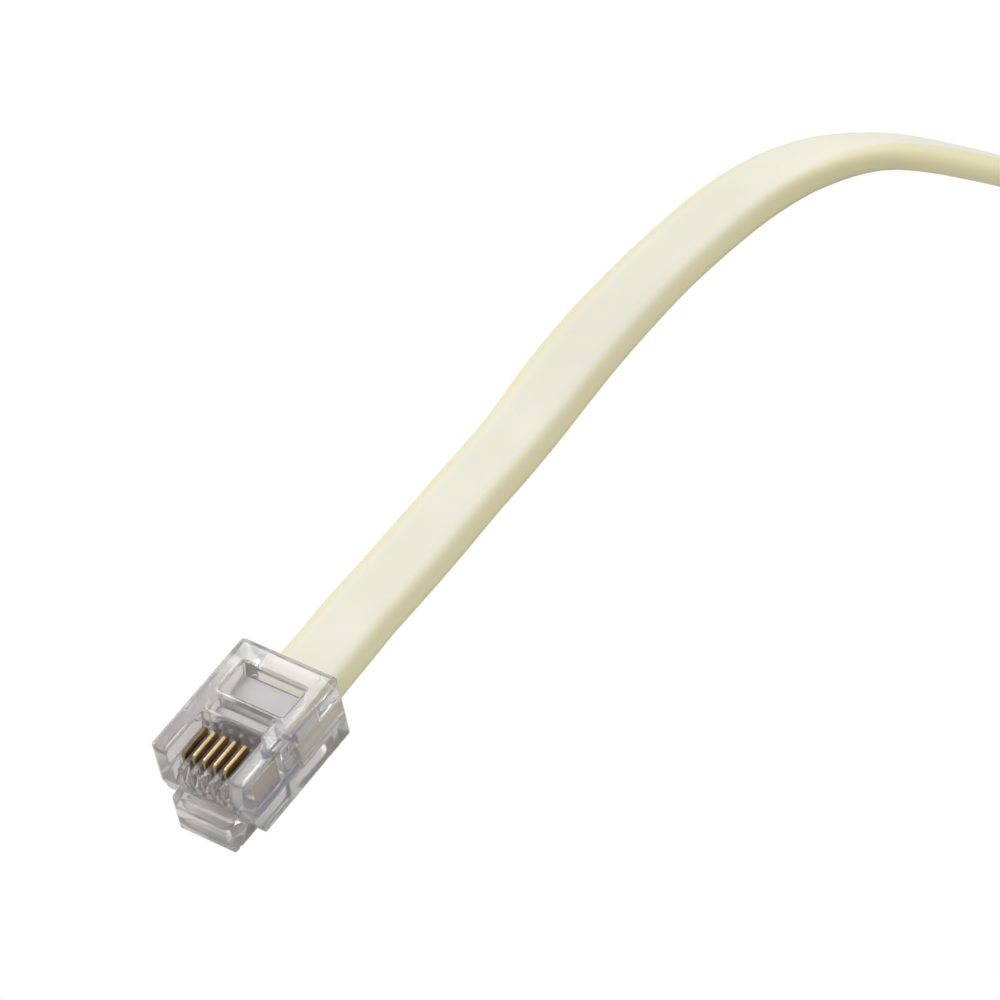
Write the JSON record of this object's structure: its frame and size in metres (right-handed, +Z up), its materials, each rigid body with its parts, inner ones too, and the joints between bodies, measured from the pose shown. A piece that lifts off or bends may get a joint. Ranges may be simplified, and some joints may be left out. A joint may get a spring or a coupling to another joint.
{
  "type": "flat telephone line cord",
  "caption": "Flat ivory telephone line cord with a clear latching modular plug on each end, its spare length wound in a tied coil.",
  "frame": {"origin": "on the floor, under the middle of the near plug's own bounding box", "axes": "+Z is up, the side the near plug's contacts face; -Y is the way the near plug goes into its jack, and +Y the way its cord leaves; +X is to the right seen from behind the plug"},
  "size_m": [0.1529, 0.0941, 0.0093],
  "materials": {
    "clear_plastic": "clear moulded polycarbonate, polished",
    "gold_contact": "gold plated blade, smooth",
    "copper": "bare stranded copper",
    "ivory_jacket": "soft ivory PVC, satin",
    "tie_band": "thin black plastic band",
    "wire_white": "white wire insulation, smooth",
    "wire_black": "black wire insulation, smooth",
    "wire_red": "red wire insulation, smooth",
    "wire_green": "green wire insulation, smooth",
    "wire_yellow": "yellow wire insulation, smooth",
    "wire_blue": "blue wire insulation, smooth"
  },
  "bodies": {
    "root": {"near_plug_housing": "clear_plastic", "near_jacket_clamp": "clear_plastic", "near_wire_clamp": "clear_plastic", "near_contact_1": "gold_contact", "near_wire_white": "wire_white", "near_core_white": "copper", "near_contact_2": "gold_contact", "near_wire_black": "wire_black", "near_core_black": "copper", "near_contact_3": "gold_contact", "near_wire_red": "wire_red", "near_core_red": "copper", "near_contact_4": "gold_contact", "near_wire_green": "wire_green", "near_core_green": "copper", "near_contact_5": "gold_contact", "near_wire_yellow": "wire_yellow", "near_core_yellow": "copper", "near_contact_6": "gold_contact", "near_wire_blue": "wire_blue", "near_core_blue": "copper", "far_plug_housing": "clear_plastic", "far_jacket_clamp": "clear_plastic", "far_wire_clamp": "clear_plastic", "far_contact_1": "gold_contact", "far_wire_white": "wire_white", "far_core_white": "copper", "far_contact_2": "gold_contact", "far_wire_black": "wire_black", "far_core_black": "copper", "far_contact_3": "gold_contact", "far_wire_red": "wire_red", "far_core_red": "copper", "far_contact_4": "gold_contact", "far_wire_green": "wire_green", "far_core_green": "copper", "far_contact_5": "gold_contact", "far_wire_yellow": "wire_yellow", "far_core_yellow": "copper", "far_contact_6": "gold_contact", "far_wire_blue": "wire_blue", "far_core_blue": "copper", "cord_run": "ivory_jacket", "cord_coil": "ivory_jacket", "cord_tail": "ivory_jacket", "tie_east": "tie_band", "tie_west": "tie_band"},
    "near_latch": {"near_latch_tab": "clear_plastic"},
    "far_latch": {"far_latch_tab": "clear_plastic"}
  },
  "joints": [
    {"name": "near_latch_hinge", "type": "hinge", "parent": "root", "child": "near_latch", "pos_m": [0, -0.00557, 0.00155], "axis": [1, 0, 0], "range_deg": [0, 8], "stiffness_Nm_per_rad": 0.05},
    {"name": "far_latch_hinge", "type": "hinge", "parent": "root", "child": "far_latch", "pos_m": [0.11645, 0.0455, 0.00155], "axis": [0, 1, 0], "range_deg": [0, 8], "stiffness_Nm_per_rad": 0.05}
  ]
}
